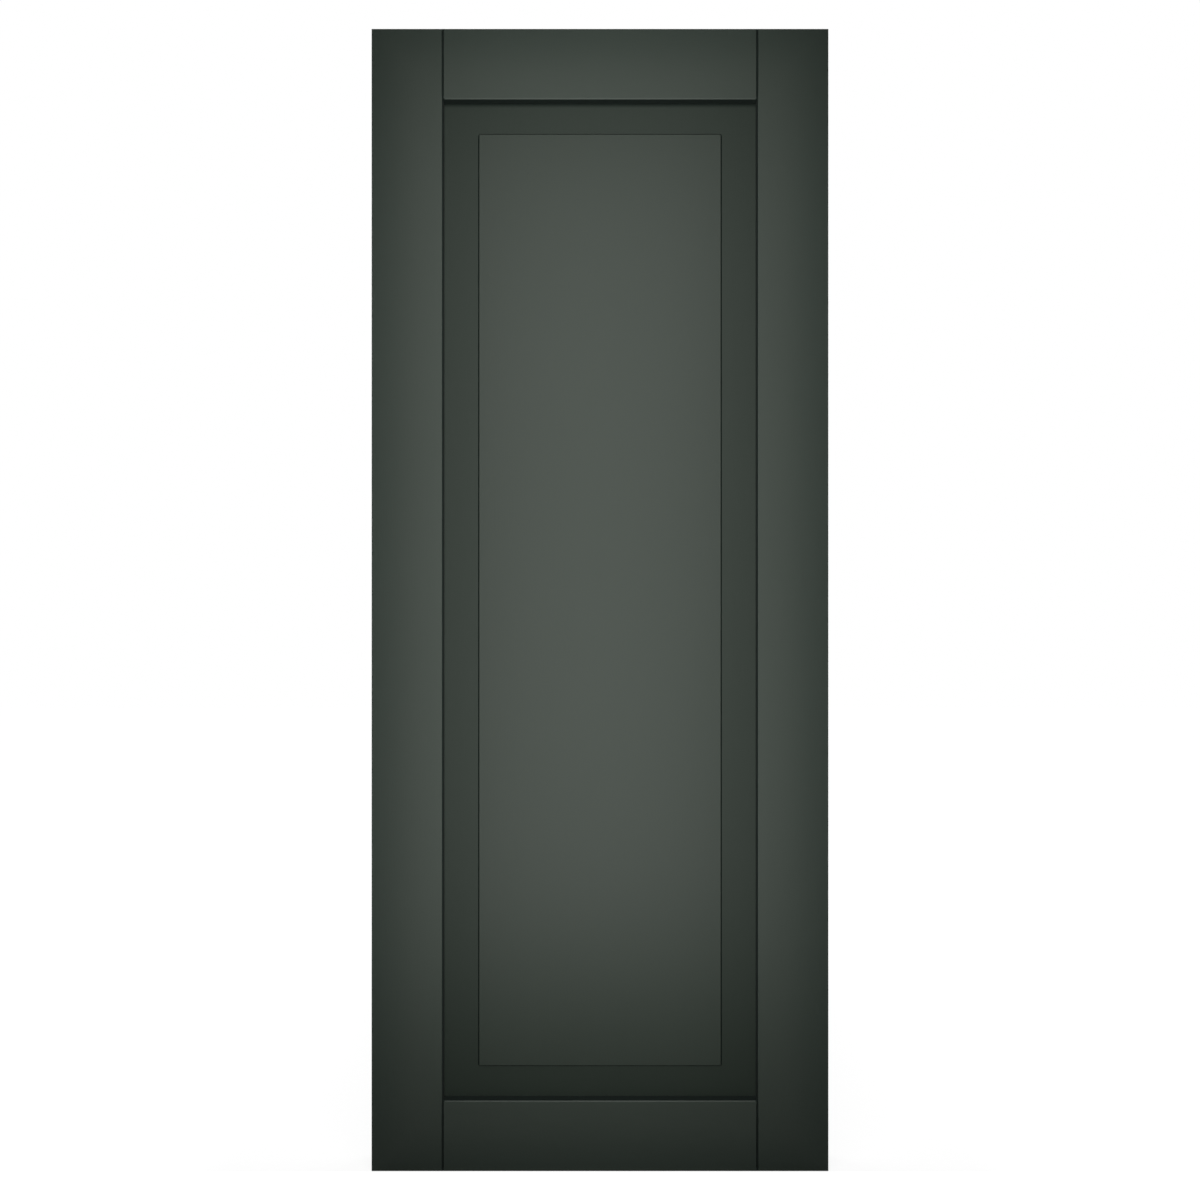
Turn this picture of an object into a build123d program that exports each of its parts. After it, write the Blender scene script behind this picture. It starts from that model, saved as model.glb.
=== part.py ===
from build123d import *
import os

# Panelled front door leaf, millimetres.
# X runs across the leaf with the hinge side at -X, Y through its thickness with the outside
# face at -Y, and Z up. The origin is the middle of the bottom edge.

# Leaf
leaf_width = 813.0
leaf_height = 2032.0
leaf_thickness = 44.0

# Stiles and rails
stile_width = 127.0
rail_width = 126.0
edge_round = 2.5

# Groove that houses the panel, along the inner edge of every member
groove_width = 16.0
groove_depth = 15.0

# Through tenons, each with a haunch that fills the end of the stile's groove
tenon_thickness = 16.0
haunch_height = 42.0
end_ease = 0.5

# Wedges between each tenon's edges and its flared mortise
wedge_butt = 9.0
wedge_tip = 1.5
wedge_length = 85.0

# Raised and fielded panel, alike on both faces
panel_float = 3.0
tongue_play = 0.2
margin_side = 63.0
margin_end = 56.0
field_rise = 3.0
field_corner_radius = 2.0
field_ease = 0.6
quirk_width = 2.2
quirk_depth = 2.0

# Rubber spacers between the panel's edge and the groove's floor
spacer_length = 25.0
spacer_play = 1.0
side_spacers = 4
end_spacers = 2
side_spacer_inset = 150.0
end_spacer_inset = 110.0

# Recesses in the hinge stile's outer edge, open to the inside face
hinge_length = 102.0
hinge_leaf_width = 33.0
hinge_leaf_thickness = 2.7
hinge_corner_radius = 8.0
top_hinge_drop = 150.0
bottom_hinge_rise = 225.0

# Pilot holes in each recess, staggered in two pairs
pilot_diameter = 3.0
pilot_depth = 28.0
outer_pair_spacing = 76.0
inner_pair_spacing = 32.0
outer_pair_setback = 11.0
inner_pair_setback = 22.0

# Places worked out from the sizes above
half_width = leaf_width / 2
half_thickness = leaf_thickness / 2
opening_half_width = half_width - stile_width
rail_length = 2 * opening_half_width
opening_bottom = rail_width
opening_top = leaf_height - rail_width
tenon_low = haunch_height
tenon_high = rail_width - groove_depth
flare_depth = wedge_length * wedge_butt / (wedge_butt - wedge_tip)
tongue_reach = groove_depth - panel_float
tongue_thickness = groove_width - 2 * tongue_play
panel_width = rail_length + 2 * tongue_reach
panel_height = opening_top - opening_bottom + 2 * tongue_reach
field_width = rail_length - 2 * margin_side
field_height = opening_top - opening_bottom - 2 * margin_end
leaf_middle = leaf_height / 2


def block(x, y, z):
    """A box from three (low, high) pairs."""
    size = [high - low for low, high in (x, y, z)]
    middle = [(low + high) / 2 for low, high in (x, y, z)]
    return Pos(*middle) * Box(*size)


def across(width):
    """The low and high of a width centred on the leaf's middle plane."""
    return (-width / 2, width / 2)


def rounded_member(x, z):
    """A full-thickness timber with its outside and inside faces rounded at their borders."""
    timber = block(x, across(leaf_thickness), z)
    borders = timber.faces().sort_by(Axis.Y)[0].edges() + timber.faces().sort_by(Axis.Y)[-1].edges()
    return fillet(borders, edge_round)


def at_head(shape):
    """The same shape at the other end of the leaf, as in a mirror lying at half height."""
    return mirror(shape, Plane.XY.offset(leaf_middle))


def on_lock_side(shape):
    """The same shape on the other side of the leaf."""
    return mirror(shape, Plane.YZ)


# The four joints are alike: each shape is made at the foot of the hinge stile, then mirrored


def flare(upper):
    """A sharp wedge, as thick as the tenon: how far the mortise widens above or below it."""
    foot, away = (tenon_high, 1) if upper else (tenon_low, -1)
    corners = (
        (-half_width, foot),
        (-half_width, foot + away * wedge_butt),
        (-half_width + flare_depth, foot),
    )
    side = Plane.XZ * make_face(Polyline(*corners, close=True))
    return extrude(side, tenon_thickness / 2, both=True)


def wedge(upper):
    """One wedge: the flare cut off at the tip, with its butt eased."""
    past_tip = block(
        (-half_width + wedge_length, -half_width + flare_depth),
        across(tenon_thickness),
        (0, leaf_middle),
    )
    blunt = flare(upper) - past_tip
    return chamfer(blunt.faces().sort_by(Axis.X)[0].edges(), end_ease)


def through_stile():
    """The room that a tenon takes up, from the rail's shoulder to the stile's outer edge."""
    return block(
        (-half_width, -opening_half_width),
        across(tenon_thickness),
        (tenon_low, tenon_high),
    )


def stile_groove(height):
    """A length of the stile's panel groove, from the foot up."""
    return block(
        (-opening_half_width - groove_depth, -opening_half_width),
        across(groove_width),
        (0, height),
    )


def tenon():
    """A tenon with its end eased, and the haunch that fills the stile's groove below it."""
    tongue = through_stile()
    tongue = chamfer(tongue.faces().sort_by(Axis.X)[0].edges(), end_ease)
    return tongue + stile_groove(haunch_height)


def mortise():
    """The hole for a tenon, flared above and below for the wedges."""
    return through_stile() + flare(True) + flare(False)


def stile():
    """A full-height stile on the hinge side, grooved and mortised."""
    timber = rounded_member((-half_width, -opening_half_width), (0, leaf_height))
    return timber - stile_groove(leaf_height) - mortise() - at_head(mortise())


def bottom_rail():
    """The bottom rail with its groove along the top edge and a tenon at each end."""
    timber = rounded_member(across(rail_length), (0, rail_width))
    groove = block(
        across(rail_length),
        across(groove_width),
        (opening_bottom - groove_depth, opening_bottom),
    )
    return timber - groove + tenon() + on_lock_side(tenon())


def hinge_recess(foot):
    """The cut for one hinge leaf, and its four pilot holes."""
    closed_edge = half_thickness - hinge_leaf_width
    floor = -half_width + hinge_leaf_thickness
    middle = foot + hinge_length / 2
    leaf = block(
        (-half_width, floor),
        (closed_edge, half_thickness),
        (foot, foot + hinge_length),
    )
    corners = leaf.edges().filter_by(Axis.X).group_by(Axis.Y)[0]
    cut = fillet(corners, hinge_corner_radius)
    pairs = (
        (outer_pair_spacing, outer_pair_setback),
        (inner_pair_spacing, inner_pair_setback),
    )
    for spacing, setback in pairs:
        for side in (-1, 1):
            place = Pos(floor, closed_edge + setback, middle + side * spacing / 2)
            drill = Cylinder(pilot_diameter / 2, pilot_depth, align=(Align.CENTER, Align.CENTER, Align.MIN))
            cut += place * Rot(0, 90, 0) * drill
    return cut


def hinge_feet():
    """The heights of the three hinges' lower ends, the middle one halfway between the others."""
    top = leaf_height - top_hinge_drop - hinge_length
    return bottom_hinge_rise, (bottom_hinge_rise + top) / 2, top


def panel_face():
    """What is added to and cut from the outside face of the panel's board."""
    margin_plane = Plane.XZ.offset(tongue_thickness / 2)
    field = RectangleRounded(field_width, field_height, field_corner_radius)
    quirk = offset(field, quirk_width) - field
    raised = extrude(Pos(0, leaf_middle) * field, field_rise)
    raised = chamfer(raised.faces().sort_by(Axis.Z)[-1].edges(), field_ease)
    sunk = extrude(Pos(0, leaf_middle) * quirk, -quirk_depth)
    return margin_plane * raised, margin_plane * sunk


def raised_panel():
    """The panel: a thin margin and tongue, and on both faces a raised field inside a quirk."""
    board = block(
        across(panel_width),
        across(tongue_thickness),
        (leaf_middle - panel_height / 2, leaf_middle + panel_height / 2),
    )
    raised, sunk = panel_face()
    inside_raised = mirror(raised, Plane.XZ)
    inside_sunk = mirror(sunk, Plane.XZ)
    return board - sunk - inside_sunk + raised + inside_raised


def evenly(count, low, high):
    """Places from low to high, or the middle where there is only one."""
    if count == 1:
        return [(low + high) / 2]
    return [low + (high - low) * i / (count - 1) for i in range(count)]


def spacers():
    """The rubber spacers, named by the member whose groove they sit in."""
    thick = across(groove_width - 2 * spacer_play)
    half = spacer_length / 2
    panel_low = leaf_middle - panel_height / 2
    panel_high = leaf_middle + panel_height / 2
    made = {}
    heights = evenly(side_spacers, panel_low + side_spacer_inset, panel_high - side_spacer_inset)
    for i, z in enumerate(heights, 1):
        strip = block((-panel_width / 2 - panel_float, -panel_width / 2), thick, (z - half, z + half))
        made[f"spacer_hinge_{i}"] = strip
        made[f"spacer_lock_{i}"] = on_lock_side(strip)
    reach = panel_width / 2 - end_spacer_inset
    for i, x in enumerate(evenly(end_spacers, -reach, reach), 1):
        strip = block((x - half, x + half), thick, (panel_low - panel_float, panel_low))
        made[f"spacer_bottom_{i}"] = strip
        made[f"spacer_top_{i}"] = at_head(strip)
    return made


def wedges():
    """Two wedges for each of the four tenons."""
    made = {}
    for upper in (True, False):
        foot_wedge = wedge(upper)
        near = "upper" if upper else "lower"
        far = "lower" if upper else "upper"
        made[f"wedge_bottom_hinge_{near}"] = foot_wedge
        made[f"wedge_bottom_lock_{near}"] = on_lock_side(foot_wedge)
        made[f"wedge_top_hinge_{far}"] = at_head(foot_wedge)
        made[f"wedge_top_lock_{far}"] = at_head(on_lock_side(foot_wedge))
    return made


plain_stile = stile()
hinge_stile = plain_stile
for foot in hinge_feet():
    hinge_stile -= hinge_recess(foot)

pieces = {
    "hinge_stile": hinge_stile,
    "lock_stile": on_lock_side(plain_stile),
    "bottom_rail": bottom_rail(),
    "top_rail": at_head(bottom_rail()),
    "raised_panel": raised_panel(),
}
pieces.update(wedges())
pieces.update(spacers())

os.makedirs("parts", exist_ok=True)
for name, piece in pieces.items():
    export_step(piece, f"parts/{name}.step")
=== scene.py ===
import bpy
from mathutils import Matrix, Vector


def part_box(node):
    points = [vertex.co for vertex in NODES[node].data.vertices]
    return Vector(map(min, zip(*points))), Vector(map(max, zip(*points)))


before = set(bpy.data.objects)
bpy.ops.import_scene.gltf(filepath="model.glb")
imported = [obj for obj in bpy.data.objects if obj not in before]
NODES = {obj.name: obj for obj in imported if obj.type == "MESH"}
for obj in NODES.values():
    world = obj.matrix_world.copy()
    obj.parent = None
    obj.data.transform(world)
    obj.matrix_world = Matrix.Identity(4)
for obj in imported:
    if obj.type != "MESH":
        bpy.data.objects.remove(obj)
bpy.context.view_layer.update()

from math import pi

import bmesh
import bpy
from mathutils import Matrix, Vector

# A painted timber door leaf. Metres throughout: X across the leaf with the lock side at +X, Y through it
# with the outside face at -Y, Z up from the foot.

# Sizes read from the frame
LEAF_LOW, LEAF_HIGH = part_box("hinge_stile")[0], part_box("lock_stile")[1]
LEAF_MIDDLE = (LEAF_LOW.z + LEAF_HIGH.z) / 2
FACE = LEAF_HIGH.y
HALF_WIDTH = LEAF_HIGH.x
OPENING_HALF_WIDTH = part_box("lock_stile")[0].x
OPENING_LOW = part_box("bottom_rail")[1].z
OPENING_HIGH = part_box("top_rail")[0].z
OPENING_HALF_HEIGHT = (OPENING_HIGH - OPENING_LOW) / 2
FIELD_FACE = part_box("raised_panel")[1].y

# Sizes inside the panel, which no piece's box gives
MARGIN_FACE = 0.0078
FIELD_HALF_WIDTH = 0.2165
FIELD_HALF_HEIGHT = 0.834

# Paint. The margin, border and crevice colours are painted shade: the sunk margin, the leaf's outer border,
# the walls of the recess, the quirk and the joint grooves are painted darker than the plain frame and field.
FRAME_PAINT = (0.0507, 0.0655, 0.0527, 1)
FIELD_PAINT = (0.0364, 0.0493, 0.0377, 1)
PAINTED_MARGIN_SHADE = (0.0210, 0.0321, 0.0227, 1)
PAINTED_BORDER_SHADE = (0.0399, 0.0552, 0.0439, 1)
PAINTED_CREVICE_SHADE = (0.0045, 0.0120, 0.0085, 1)
# Painted shade towards the field's edge:
FIELD_EDGE_SHADE = 0.99
# Share of the crevice's painted shade laid as a painted shadow just under the top rail
UNDER_RAIL_SHADE = 0.8
FILM_RELIEF = 0.0001

# How rough the paint is, what the dull and the rubbed places add to that, and the most that a wedge's
# painted butt has
PAINT_ROUGHNESS = 0.577
MARGIN_DULLER = 0.08
CREVICE_DULLER = 0.45
ARRIS_RUBBED = -0.06
PAINTED_BUTT_ROUGHNESS = 0.55

# Bare timber and rubber
BARE_PALE = (0.52, 0.36, 0.21, 1)
BARE_DARK = (0.30, 0.17, 0.085, 1)
BARE_ROUGHNESS = 0.7
WEDGE_PALE = (0.46, 0.27, 0.13, 1)
WEDGE_DARK = (0.26, 0.13, 0.06, 1)
WEDGE_RELIEF = 0.00005
RUBBER_BLACK = (0.016, 0.016, 0.017, 1)
RUBBER_BLOOM = (0.040, 0.040, 0.042, 1)
RUBBER_RELIEF = 0.0001

# How far the grain's pattern is drawn out, for each direction that a timber can lie in
UPRIGHT = (1.0, 1.0, 0.03)
LEVEL = (0.03, 1.0, 1.0)
WEDGE_GRAIN = (0.05, 1.0, 1.0)

# Masks on a stile or rail. Each pair is where a mask starts to change and where the change ends.
# Depths below the leaf's face:
ARRIS_FROM = (0.00002, 0.00035)
ARRIS_TO = (0.0008, 0.0022)
JOINT_WALL = (0.000005, 0.0001)
UPRIGHT_WALL = (0.00003, 0.00032)
LEVEL_WALL = (0.0009, 0.0021)
JOINT_FLOOR = 0.0027
PAINT_DEPTH = 0.0008
# Distances from the opening's edge, or past it:
NEAR_OPENING = (0.0026, 0.0034)
PAST_OPENING = 0.003
JOINT_START = (0.001, 0.009)
JOINT_LINE = (0.0007, 0.0014)
BUTT_LINE = (0.0001, 0.0004)
SHOULDER_GAP = 0.0004
PAINTED_PAST_OPENING = 0.0035
# Distances from the leaf's ends and outer edges:
END_ARRIS = (0.0022, 0.003)
END_FACE = 0.0005
PAINTED_IN_FROM_END = 0.0035
BORDER_REACH = 0.0915
# How dark the border gets at the leaf's ends, against 1 at its sides:
BORDER_END_SHARE = 0.8992
# Half the thickness of the tenons and of the groove, with a hair to spare:
JOINERY_HALF = 0.00805

# Masks on the panel: places past the field's edge, depths below the margin and the field, and places past
# the opening's edge
MARGIN_START = (0.0001, 0.0003)
FIELD_BORDER = (-0.10, 0.0)
QUIRK_PAST_FIELD = 0.004
QUIRK_DEPTH = (0.0001, 0.0003)
FIELD_WALL_PAST_FIELD = 0.0002
FIELD_WALL_DEPTH = (0.0006, 0.0009)
TONGUE_START = (0.0002, 0.0010)
UNDER_RAIL = (-0.0075, 0.0)

# The painted end of a wedge's butt, from the leaf's outer edge
PAINTED_BUTT = (0.0004, 0.0007)


def new_group(name, inputs, outputs):
    """A shader node group with named sockets, and its two ends."""
    tree = bpy.data.node_groups.new(name, "ShaderNodeTree")
    for socket_name, kind, value in inputs:
        socket = tree.interface.new_socket(socket_name, in_out="INPUT", socket_type=kind)
        if value is not None:
            socket.default_value = value
    for socket_name, kind in outputs:
        tree.interface.new_socket(socket_name, in_out="OUTPUT", socket_type=kind)
    return tree, tree.nodes.new("NodeGroupInput"), tree.nodes.new("NodeGroupOutput")


def plug(tree, value, socket):
    """Links an output socket to an input, or sets the input to a number or colour."""
    if isinstance(value, bpy.types.NodeSocket):
        tree.links.new(value, socket)
    elif value is not None:
        socket.default_value = value


def calc(tree, operation, a, b=None, clamp=False):
    """One step of arithmetic on sockets or numbers."""
    node = tree.nodes.new("ShaderNodeMath")
    node.operation = operation
    node.use_clamp = clamp
    for value, socket in zip((a, b), node.inputs):
        plug(tree, value, socket)
    return node.outputs[0]


def chain(tree, operation, values):
    """Takes the values together with one operation, from the first to the last."""
    result = values[0]
    for value in values[1:]:
        result = calc(tree, operation, result, value)
    return result


def product(tree, *values):
    return chain(tree, "MULTIPLY", values)


def largest(tree, *values):
    return chain(tree, "MAXIMUM", values)


def total(tree, *values):
    return chain(tree, "ADD", values)


def ramp(tree, value, low, high, to_low=0.0, to_high=1.0, smooth=True):
    """Maps a value from one range onto another, clamped at both ends."""
    node = tree.nodes.new("ShaderNodeMapRange")
    node.interpolation_type = "SMOOTHSTEP" if smooth else "LINEAR"
    for socket, number in zip(node.inputs, (value, low, high, to_low, to_high)):
        plug(tree, number, socket)
    return node.outputs[0]


def rising(tree, value, limits):
    """0 up to the first limit and 1 from the second on."""
    return ramp(tree, value, *limits)


def falling(tree, value, limits):
    """1 up to the first limit and 0 from the second on."""
    return ramp(tree, value, *limits, 1.0, 0.0)


def swing(tree, value, amount):
    """Turns a noise into a change of up to the amount, either way."""
    return ramp(tree, value, 0.3, 0.7, -amount, amount)


def blend(tree, factor, a, b):
    """One colour going over into another."""
    node = tree.nodes.new("ShaderNodeMix")
    node.data_type = "RGBA"
    plug(tree, factor, node.inputs["Factor"])
    plug(tree, a, node.inputs["A"])
    plug(tree, b, node.inputs["B"])
    return node.outputs["Result"]


def shaded(tree, colour, factor):
    """A colour made lighter or darker by a factor."""
    node = tree.nodes.new("ShaderNodeVectorMath")
    node.operation = "SCALE"
    plug(tree, colour, node.inputs[0])
    plug(tree, factor, node.inputs["Scale"])
    return node.outputs[0]


def noise(tree, vector, scale, detail=2.0, roughness=0.5, distortion=0.0):
    node = tree.nodes.new("ShaderNodeTexNoise")
    plug(tree, vector, node.inputs["Vector"])
    settings = {"Scale": scale, "Detail": detail, "Roughness": roughness, "Distortion": distortion}
    for name, value in settings.items():
        plug(tree, value, node.inputs[name])
    return node.outputs["Fac"]


def axes(tree, vector):
    node = tree.nodes.new("ShaderNodeSeparateXYZ")
    plug(tree, vector, node.inputs[0])
    return node.outputs


def leaf_place(tree, vector):
    """How far a point is from the leaf's middle, through it, across it and up or down it. The leaf's two
    faces, sides and ends are alike, so one mask serves both."""
    x, y, z = axes(tree, vector)
    up = calc(tree, "ABSOLUTE", calc(tree, "SUBTRACT", z, LEAF_MIDDLE))
    return calc(tree, "ABSOLUTE", y), calc(tree, "ABSOLUTE", x), up


def along_grain(tree, start):
    """A shared effect's coordinates, with the pattern drawn out along the timber."""
    node = tree.nodes.new("ShaderNodeMapping")
    plug(tree, start.outputs["Vector"], node.inputs["Vector"])
    plug(tree, start.outputs["Grain Stretch"], node.inputs["Scale"])
    return node.outputs[0]


SURFACE = [("Colour", "NodeSocketColor"), ("Roughness", "NodeSocketFloat"), ("Height", "NodeSocketFloat")]


def make_satin_film():
    """Sprayed satin paint over sanded timber: broad drift, faint grain along one axis, fine orange peel."""
    tree, start, end = new_group(
        "satin_film",
        [
            ("Vector", "NodeSocketVector", None),
            ("Colour", "NodeSocketColor", FRAME_PAINT),
            ("Roughness", "NodeSocketFloat", PAINT_ROUGHNESS),
            ("Grain Stretch", "NodeSocketVector", UPRIGHT),
        ],
        SURFACE,
    )
    place, along = start.outputs["Vector"], along_grain(tree, start)
    drift = noise(tree, place, scale=3.0)
    fibres = noise(tree, along, scale=620.0, detail=3.0, roughness=0.62, distortion=0.4)
    pores = noise(tree, along, scale=1900.0, detail=1.0)
    peel = noise(tree, place, scale=950.0, detail=1.0, roughness=0.4)
    shade = total(tree, swing(tree, drift, 0.012), swing(tree, fibres, 0.02), 1.0)
    plug(tree, shaded(tree, start.outputs["Colour"], shade), end.inputs["Colour"])
    sheen = total(tree, swing(tree, drift, 0.008), swing(tree, fibres, 0.02))
    plug(tree, total(tree, start.outputs["Roughness"], sheen), end.inputs["Roughness"])
    height = total(tree, fibres, product(tree, pores, 0.35), product(tree, peel, 0.5))
    plug(tree, height, end.inputs["Height"])
    return tree


def upright_walls(tree, sunk, past_side, past_end, from_end):
    """Mask of painted shade on the stiles' walls in the opening and in the fine groove where a rail butts on
    a stile.
    """
    off_side = calc(tree, "ABSOLUTE", past_side)
    in_groove = calc(tree, "LESS_THAN", sunk, JOINT_FLOOR)
    beside_panel = calc(tree, "LESS_THAN", past_end, PAST_OPENING)
    wall = product(tree, rising(tree, sunk, UPRIGHT_WALL), largest(tree, beside_panel, in_groove))
    joint = product(tree, rising(tree, sunk, JOINT_WALL), in_groove, rising(tree, past_end, JOINT_START))
    dark = product(tree, falling(tree, off_side, NEAR_OPENING), largest(tree, wall, joint))
    # At the leaf's end the groove meets the end's own arris, and only its middle line stays dark
    beside_line = product(tree, falling(tree, from_end, END_ARRIS), rising(tree, off_side, JOINT_LINE))
    return product(tree, dark, calc(tree, "SUBTRACT", 1.0, beside_line))


def level_walls(tree, sunk, past_side, past_end):
    """Mask of painted shade on the rails' walls in the opening."""
    off_end = calc(tree, "ABSOLUTE", past_end)
    across = calc(tree, "LESS_THAN", past_side, PAST_OPENING)
    return product(tree, rising(tree, sunk, LEVEL_WALL), falling(tree, off_end, NEAR_OPENING), across)


def butt_lines(tree, past_side, from_end):
    """Mask of the hairline between rail and stile on the leaf's ends."""
    off_side = calc(tree, "ABSOLUTE", past_side)
    on_end = calc(tree, "LESS_THAN", from_end, END_FACE)
    return product(tree, falling(tree, off_side, BUTT_LINE), on_end)


def hidden_timber(tree, depth, sunk, past_side, past_end, from_edge, from_end):
    """Mask of the tenons, mortises, grooves and pilot holes, which no paint reaches."""
    inside = largest(
        tree,
        calc(tree, "LESS_THAN", depth, JOINERY_HALF),
        product(
            tree,
            calc(tree, "GREATER_THAN", sunk, PAINT_DEPTH),
            calc(tree, "GREATER_THAN", past_side, PAINTED_PAST_OPENING),
        ),
    )
    not_edge = calc(tree, "GREATER_THAN", from_edge, PAINTED_IN_FROM_END)
    not_end = calc(tree, "GREATER_THAN", from_end, PAINTED_IN_FROM_END)
    beyond = largest(
        tree,
        calc(tree, "GREATER_THAN", past_side, SHOULDER_GAP),
        calc(tree, "GREATER_THAN", past_end, SHOULDER_GAP),
    )
    return product(tree, inside, not_edge, beyond, not_end)


def make_frame_zones():
    """Masks on a stile or rail: painted shade on the walls, joints and leaf's border; the arrises; the
    hidden joinery.
    """
    tree, start, end = new_group(
        "frame_zones",
        [("Vector", "NodeSocketVector", None)],
        [(name, "NodeSocketFloat") for name in ("Wall", "Arris", "Border", "Hidden")],
    )
    depth, side, up = leaf_place(tree, start.outputs["Vector"])
    sunk = calc(tree, "SUBTRACT", FACE, depth)
    past_side = calc(tree, "SUBTRACT", side, OPENING_HALF_WIDTH)
    past_end = calc(tree, "SUBTRACT", up, OPENING_HALF_HEIGHT)
    from_edge = calc(tree, "SUBTRACT", HALF_WIDTH, side)
    from_end = calc(tree, "SUBTRACT", LEAF_MIDDLE, up)

    wall = largest(
        tree,
        upright_walls(tree, sunk, past_side, past_end, from_end),
        level_walls(tree, sunk, past_side, past_end),
        butt_lines(tree, past_side, from_end),
    )
    plug(tree, wall, end.inputs["Wall"])
    arris = product(tree, falling(tree, sunk, ARRIS_TO), rising(tree, sunk, ARRIS_FROM))
    plug(tree, arris, end.inputs["Arris"])
    # The border mask darkens the paint towards the leaf's outer edges and ends: painted shade.
    border = largest(
        tree,
        falling(tree, from_edge, (0.0, BORDER_REACH)),
        ramp(tree, from_end, 0.0, BORDER_REACH, BORDER_END_SHARE, 0.0),
    )
    plug(tree, border, end.inputs["Border"])
    hidden = hidden_timber(tree, depth, sunk, past_side, past_end, from_edge, from_end)
    plug(tree, hidden, end.inputs["Hidden"])
    return tree


def make_panel_zones():
    """Masks on the panel: the sunk margin, the quirk and the field's wall, the outer part of the field,
    the tongue, and the strip of margin just under the top rail. All but the tongue place painted shade."""
    masks = ("Margin", "Quirk", "Field Border", "Tongue", "Under Rail")
    tree, start, end = new_group(
        "panel_zones",
        [("Vector", "NodeSocketVector", None)],
        [(name, "NodeSocketFloat") for name in masks],
    )
    depth, side, up = leaf_place(tree, start.outputs["Vector"])
    past_field = largest(
        tree,
        calc(tree, "SUBTRACT", side, FIELD_HALF_WIDTH),
        calc(tree, "SUBTRACT", up, FIELD_HALF_HEIGHT),
    )
    past_opening = largest(
        tree,
        calc(tree, "SUBTRACT", side, OPENING_HALF_WIDTH),
        calc(tree, "SUBTRACT", up, OPENING_HALF_HEIGHT),
    )
    plug(tree, rising(tree, past_field, MARGIN_START), end.inputs["Margin"])
    quirk = product(
        tree,
        rising(tree, calc(tree, "SUBTRACT", MARGIN_FACE, depth), QUIRK_DEPTH),
        calc(tree, "LESS_THAN", past_field, QUIRK_PAST_FIELD),
    )
    field_wall = product(
        tree,
        rising(tree, calc(tree, "SUBTRACT", FIELD_FACE, depth), FIELD_WALL_DEPTH),
        calc(tree, "LESS_THAN", past_field, FIELD_WALL_PAST_FIELD),
    )
    plug(tree, largest(tree, quirk, field_wall), end.inputs["Quirk"])
    plug(tree, rising(tree, past_field, FIELD_BORDER), end.inputs["Field Border"])
    plug(tree, rising(tree, past_opening, TONGUE_START), end.inputs["Tongue"])
    _, _, z = axes(tree, start.outputs["Vector"])
    above_opening = calc(tree, "SUBTRACT", z, OPENING_HIGH)
    plug(tree, ramp(tree, above_opening, *UNDER_RAIL, smooth=False), end.inputs["Under Rail"])
    return tree


def make_bare_timber():
    """Planed joinery timber with its growth rings along one axis."""
    tree, start, end = new_group(
        "bare_timber",
        [
            ("Vector", "NodeSocketVector", None),
            ("Grain Stretch", "NodeSocketVector", UPRIGHT),
            ("Pale", "NodeSocketColor", BARE_PALE),
            ("Dark", "NodeSocketColor", BARE_DARK),
        ],
        SURFACE,
    )
    along = along_grain(tree, start)
    bend = noise(tree, along, scale=18.0)
    rings = noise(tree, along, scale=140.0, detail=3.0, roughness=0.6, distortion=1.2)
    pores = noise(tree, along, scale=900.0)
    figure = total(tree, product(tree, rings, 0.7), product(tree, bend, 0.3))
    colour = blend(tree, rising(tree, figure, (0.35, 0.65)), start.outputs["Pale"], start.outputs["Dark"])
    flecked = shaded(tree, colour, ramp(tree, pores, 0.55, 0.7, 1.0, 0.8))
    plug(tree, flecked, end.inputs["Colour"])
    plug(tree, ramp(tree, pores, 0.3, 0.7, 0.58, 0.78), end.inputs["Roughness"])
    plug(tree, figure, end.inputs["Height"])
    return tree


SATIN_FILM = make_satin_film()
FRAME_ZONES = make_frame_zones()
PANEL_ZONES = make_panel_zones()
BARE_TIMBER = make_bare_timber()


def new_material(name):
    """A material with its shader and the object's own coordinates."""
    material = bpy.data.materials.new(name)
    material.use_nodes = True
    tree = material.node_tree
    shader = tree.nodes["Principled BSDF"]
    place = tree.nodes.new("ShaderNodeTexCoord").outputs["Object"]
    return material, tree, shader, place


def use(tree, group, **values):
    """Places a shared effect in a material, with its own values. Underscores stand for spaces."""
    node = tree.nodes.new("ShaderNodeGroup")
    node.node_tree = group
    for name, value in values.items():
        plug(tree, value, node.inputs[name.replace("_", " ")])
    return node.outputs


def bump(tree, height, distance):
    """The shading of a fine relief that the CAD surface leaves out."""
    node = tree.nodes.new("ShaderNodeBump")
    plug(tree, height, node.inputs["Height"])
    node.inputs["Distance"].default_value = distance
    node.inputs["Strength"].default_value = 1.0
    return node.outputs[0]


def frame_paint(name, stretch):
    """Satin paint on a stile or rail, with painted shade in the joints, on the walls of the recess and
    towards the leaf's border, and bare timber on the joinery inside."""
    material, tree, shader, place = new_material(name)
    zones = use(tree, FRAME_ZONES, Vector=place)
    bare = use(tree, BARE_TIMBER, Vector=place, Grain_Stretch=stretch)
    # Painted shade: darker towards the leaf's outer edges and ends.
    colour = blend(tree, zones["Border"], FRAME_PAINT, PAINTED_BORDER_SHADE)
    # Painted shade, near black, on the walls of the recess and in the joint grooves.
    colour = blend(tree, zones["Wall"], colour, PAINTED_CREVICE_SHADE)
    film = use(tree, SATIN_FILM, Vector=place, Colour=colour, Grain_Stretch=stretch)
    plug(tree, blend(tree, zones["Hidden"], film["Colour"], bare["Colour"]), shader.inputs["Base Color"])
    dull = ramp(tree, zones["Wall"], 0.0, 1.0, 0.0, CREVICE_DULLER)
    painted = total(tree, film["Roughness"], dull, product(tree, zones["Arris"], ARRIS_RUBBED))
    rough = largest(tree, painted, product(tree, zones["Hidden"], BARE_ROUGHNESS))
    plug(tree, rough, shader.inputs["Roughness"])
    plug(tree, bump(tree, film["Height"], FILM_RELIEF), shader.inputs["Normal"])
    return material


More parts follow.
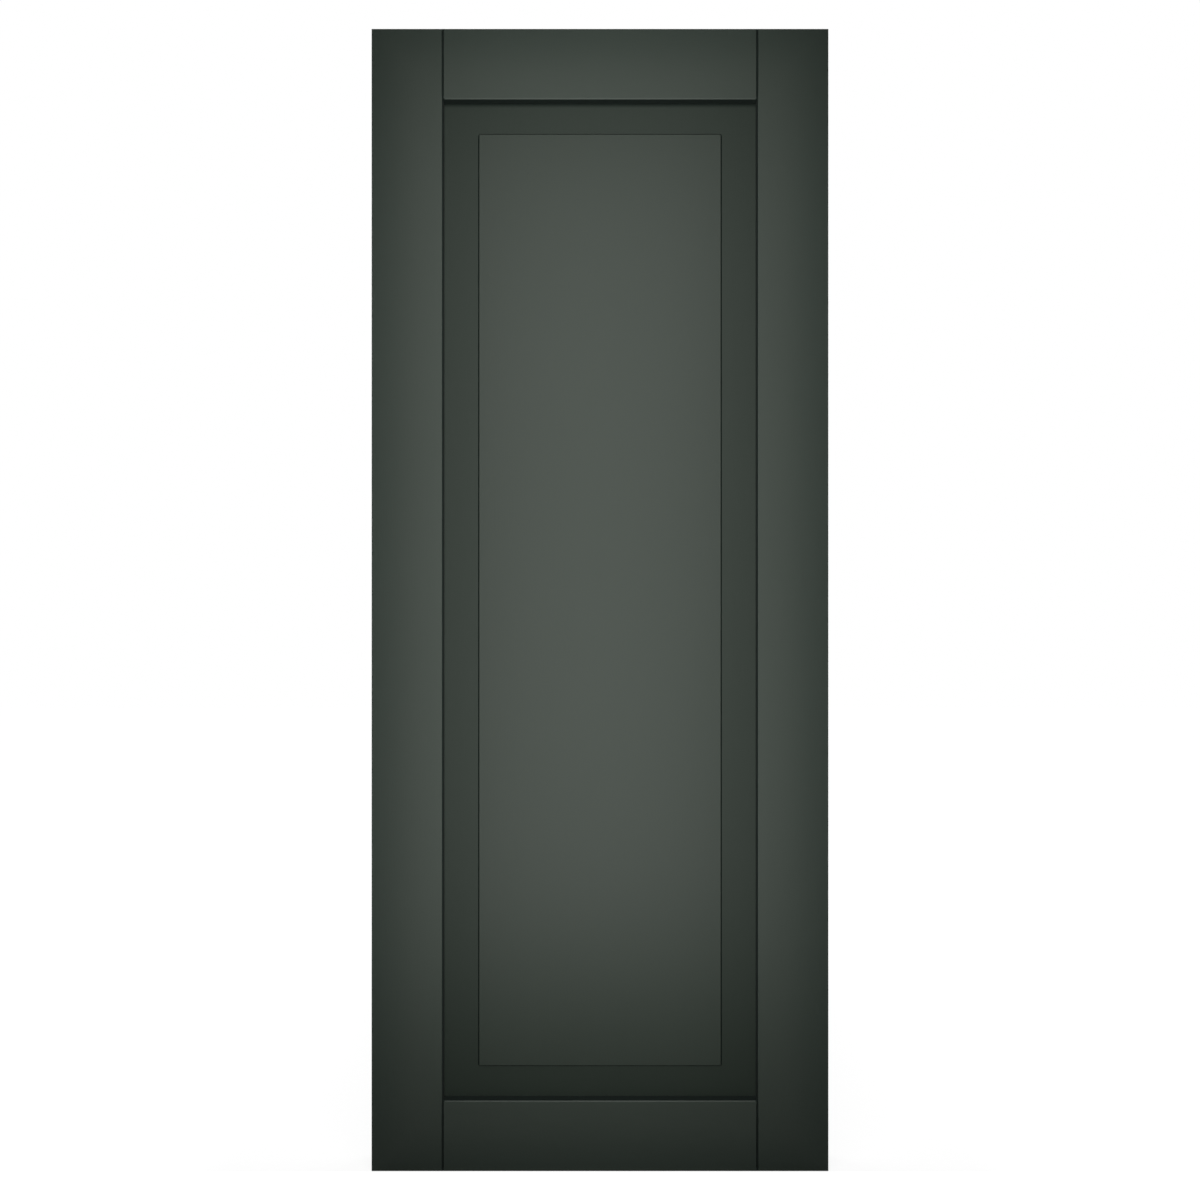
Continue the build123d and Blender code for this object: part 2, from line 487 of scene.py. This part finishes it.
def panel_paint():
    """Satin paint on the panel, with painted shade on the margin, in the quirk and just under the top rail,
    and bare timber on the tongue."""
    material, tree, shader, place = new_material("panel_satin_paint")
    zones = use(tree, PANEL_ZONES, Vector=place)
    # Painted shade towards the field's edge, faint.
    edge = tuple(FIELD_EDGE_SHADE * part for part in FIELD_PAINT[:3]) + (1,)
    colour = blend(tree, zones["Field Border"], FIELD_PAINT, edge)
    # Painted shade: the sunk margin darker than the field.
    colour = blend(tree, zones["Margin"], colour, PAINTED_MARGIN_SHADE)
    # Painted shadow on the margin just under the top rail.
    colour = blend(tree, product(tree, zones["Under Rail"], UNDER_RAIL_SHADE), colour, PAINTED_CREVICE_SHADE)
    # Painted shade in the quirk round the field.
    colour = blend(tree, zones["Quirk"], colour, PAINTED_CREVICE_SHADE)
    film = use(tree, SATIN_FILM, Vector=place, Colour=colour, Grain_Stretch=UPRIGHT)
    bare = use(tree, BARE_TIMBER, Vector=place, Grain_Stretch=UPRIGHT)
    plug(tree, blend(tree, zones["Tongue"], film["Colour"], bare["Colour"]), shader.inputs["Base Color"])
    dull = product(tree, zones["Margin"], MARGIN_DULLER)
    crevice = product(tree, largest(tree, zones["Quirk"], zones["Under Rail"]), CREVICE_DULLER)
    rough = calc(tree, "ADD", film["Roughness"], largest(tree, dull, crevice), clamp=True)
    plug(tree, rough, shader.inputs["Roughness"])
    plug(tree, bump(tree, film["Height"], FILM_RELIEF), shader.inputs["Normal"])
    return material


def wedge_timber():
    """Hardwood wedge, painted over at the leaf's edge where its butt is flush."""
    material, tree, shader, place = new_material("wedge_hardwood")
    bare = use(
        tree, BARE_TIMBER, Vector=place, Grain_Stretch=WEDGE_GRAIN, Pale=WEDGE_PALE, Dark=WEDGE_DARK
    )
    film = use(tree, SATIN_FILM, Vector=place, Colour=FRAME_PAINT, Grain_Stretch=LEVEL)
    _, side, _ = leaf_place(tree, place)
    butt = falling(tree, calc(tree, "SUBTRACT", HALF_WIDTH, side), PAINTED_BUTT)
    plug(tree, blend(tree, butt, bare["Colour"], film["Colour"]), shader.inputs["Base Color"])
    smoother = ramp(tree, butt, 0.0, 1.0, 1.0, PAINTED_BUTT_ROUGHNESS, smooth=False)
    plug(tree, calc(tree, "MINIMUM", bare["Roughness"], smoother), shader.inputs["Roughness"])
    plug(tree, bump(tree, bare["Height"], WEDGE_RELIEF), shader.inputs["Normal"])
    return material


def spacer_rubber():
    """Moulded black rubber with a dusty bloom and a fine skin."""
    material, tree, shader, place = new_material("spacer_rubber")
    bloom = noise(tree, place, scale=240.0, detail=3.0, roughness=0.6)
    skin = noise(tree, place, scale=2600.0)
    colour = blend(tree, rising(tree, bloom, (0.35, 0.75)), RUBBER_BLACK, RUBBER_BLOOM)
    plug(tree, colour, shader.inputs["Base Color"])
    plug(tree, ramp(tree, bloom, 0.3, 0.7, 0.72, 0.9), shader.inputs["Roughness"])
    plug(tree, bump(tree, skin, RUBBER_RELIEF), shader.inputs["Normal"])
    return material


FINISHES = {
    "stile": frame_paint("stile_satin_paint", UPRIGHT),
    "rail": frame_paint("rail_satin_paint", LEVEL),
    "panel": panel_paint(),
    "wedge": wedge_timber(),
    "spacer": spacer_rubber(),
}

for name, node in NODES.items():
    finish = next(material for part, material in FINISHES.items() if part in name)
    for slot in node.material_slots:
        slot.material = finish

# Floor and backdrop
WHITE = (1, 1, 1, 1)
WORLD_FILL = 0.02
FLOOR_HALF = 6.0
FLOOR_DROP = -0.0002
FLOOR_GREY = (0.18, 0.18, 0.18, 1)

# Behind the leaf the floor's glow is what the light of these lamps leaves short of white. It goes back to
# full white between these distances, to the side and to the back. In front it is full white throughout.
GLOW_BEHIND_LEAF = 0.847
NEAR_SIDE = (0.65, 1.0)
NEAR_BACK = (0.5, 1.1)


def seen_white(tree, behind):
    """1 to the camera, and also to mirrors and glass where the surface is behind the leaf."""
    rays = tree.nodes.new("ShaderNodeLightPath").outputs
    mirrored = largest(tree, rays["Is Glossy Ray"], rays["Is Transmission Ray"])
    return largest(tree, rays["Is Camera Ray"], product(tree, mirrored, behind))


def floor_material():
    """Pale floor, white to the camera. Close behind the leaf the lamps make up the last of the white, so the
    floor is white there with the leaf away, and grey only where the leaf blocks light. Elsewhere the full
    glow hides any shadow."""
    material = bpy.data.materials.new("studio_floor")
    material.use_nodes = True
    tree = material.node_tree
    tree.nodes.remove(tree.nodes["Principled BSDF"])
    end = tree.nodes["Material Output"]
    matt = tree.nodes.new("ShaderNodeBsdfDiffuse")
    matt.inputs["Color"].default_value = FLOOR_GREY
    glow = tree.nodes.new("ShaderNodeEmission")
    glow.inputs["Color"].default_value = WHITE
    x, y, _ = axes(tree, tree.nodes.new("ShaderNodeTexCoord").outputs["Object"])
    behind = calc(tree, "GREATER_THAN", y, -FACE)
    near_side = falling(tree, calc(tree, "ABSOLUTE", x), NEAR_SIDE)
    near_leaf = product(tree, near_side, falling(tree, y, NEAR_BACK), behind)
    strength = ramp(tree, near_leaf, 0.0, 1.0, 1.0, GLOW_BEHIND_LEAF, smooth=False)
    plug(tree, product(tree, seen_white(tree, behind), strength), glow.inputs["Strength"])
    both = tree.nodes.new("ShaderNodeAddShader")
    plug(tree, matt.outputs[0], both.inputs[0])
    plug(tree, glow.outputs[0], both.inputs[1])
    plug(tree, both.outputs[0], end.inputs["Surface"])
    return material


def make_floor():
    """A wide plane a hair below the leaf's foot."""
    mesh = bpy.data.meshes.new("floor")
    shape = bmesh.new()
    bmesh.ops.create_grid(shape, x_segments=1, y_segments=1, size=FLOOR_HALF)
    bmesh.ops.translate(shape, verts=shape.verts, vec=(0, 0, FLOOR_DROP))
    shape.to_mesh(mesh)
    shape.free()
    mesh.materials.append(floor_material())
    floor = bpy.data.objects.new("floor", mesh)
    bpy.context.scene.collection.objects.link(floor)


def light_the_world():
    """White to the camera, white to mirrors and glass behind the leaf, and nearly dark to all else."""
    world = bpy.data.worlds.new("studio")
    bpy.context.scene.world = world
    world.use_nodes = True
    tree = world.node_tree
    sky = tree.nodes["Background"]
    sky.inputs["Color"].default_value = WHITE
    _, y, _ = axes(tree, tree.nodes.new("ShaderNodeTexCoord").outputs["Generated"])
    behind = calc(tree, "GREATER_THAN", y, 0.0)
    plug(tree, largest(tree, seen_white(tree, behind), WORLD_FILL), sky.inputs["Strength"])


make_floor()
light_the_world()


def softbox(name, place, target, width, height, radiance):
    """A rectangular lamp, hidden from the camera, with its power worked out from its radiance."""
    lamp = bpy.data.lights.new(name, "AREA")
    lamp.shape = "RECTANGLE"
    lamp.size = width
    lamp.size_y = height
    lamp.energy = radiance * pi * width * height
    box = bpy.data.objects.new(name, lamp)
    bpy.context.scene.collection.objects.link(box)
    box.visible_camera = False
    look = Vector(target) - Vector(place)
    box.matrix_world = Matrix.Translation(place) @ look.to_track_quat("-Z", "Y").to_matrix().to_4x4()


# The one lamp in front lights the outside face. The other four light the back, the edges and the head.
FRONT_DISTANCE = 0.451
FRONT_HEIGHT = 1.165
FRONT_SIDE = -0.0113

softbox(
    "front_softbox",
    place=(FRONT_SIDE, -FRONT_DISTANCE, FRONT_HEIGHT),
    target=(FRONT_SIDE, 0, FRONT_HEIGHT),
    width=0.719,
    height=1.917,
    radiance=1.737,
)
softbox("back_softbox", place=(0, 1.6, 1.3), target=(0, 0, 1.1), width=1.6, height=2.2, radiance=1.2)
for name, side in (("hinge_side_softbox", -1), ("lock_side_softbox", 1)):
    softbox(
        name,
        place=(side * 1.15, 0.48, 1.15),
        target=(side * 0.4, 0.02, 1.05),
        width=0.8,
        height=2.2,
        radiance=2.8,
    )
softbox("head_softbox", place=(0, 0.55, 2.9), target=(0, 0.03, 2.03), width=1.4, height=0.6, radiance=1.6)

# The camera looks square on at the outside face, level with the leaf's middle
CAMERA_DISTANCE = 1.4
SENSOR_WIDTH = 36.0
LENS = 23.635

camera_data = bpy.data.cameras.new("camera")
camera_data.sensor_width = SENSOR_WIDTH
camera_data.lens = LENS
camera = bpy.data.objects.new("camera", camera_data)
bpy.context.scene.collection.objects.link(camera)
stand = Matrix.Translation((0, -FACE - CAMERA_DISTANCE, LEAF_MIDDLE))
camera.matrix_world = stand @ Matrix.Rotation(pi / 2, 4, "X")
bpy.context.scene.camera = camera
bpy.context.scene.view_settings.view_transform = "Standard"
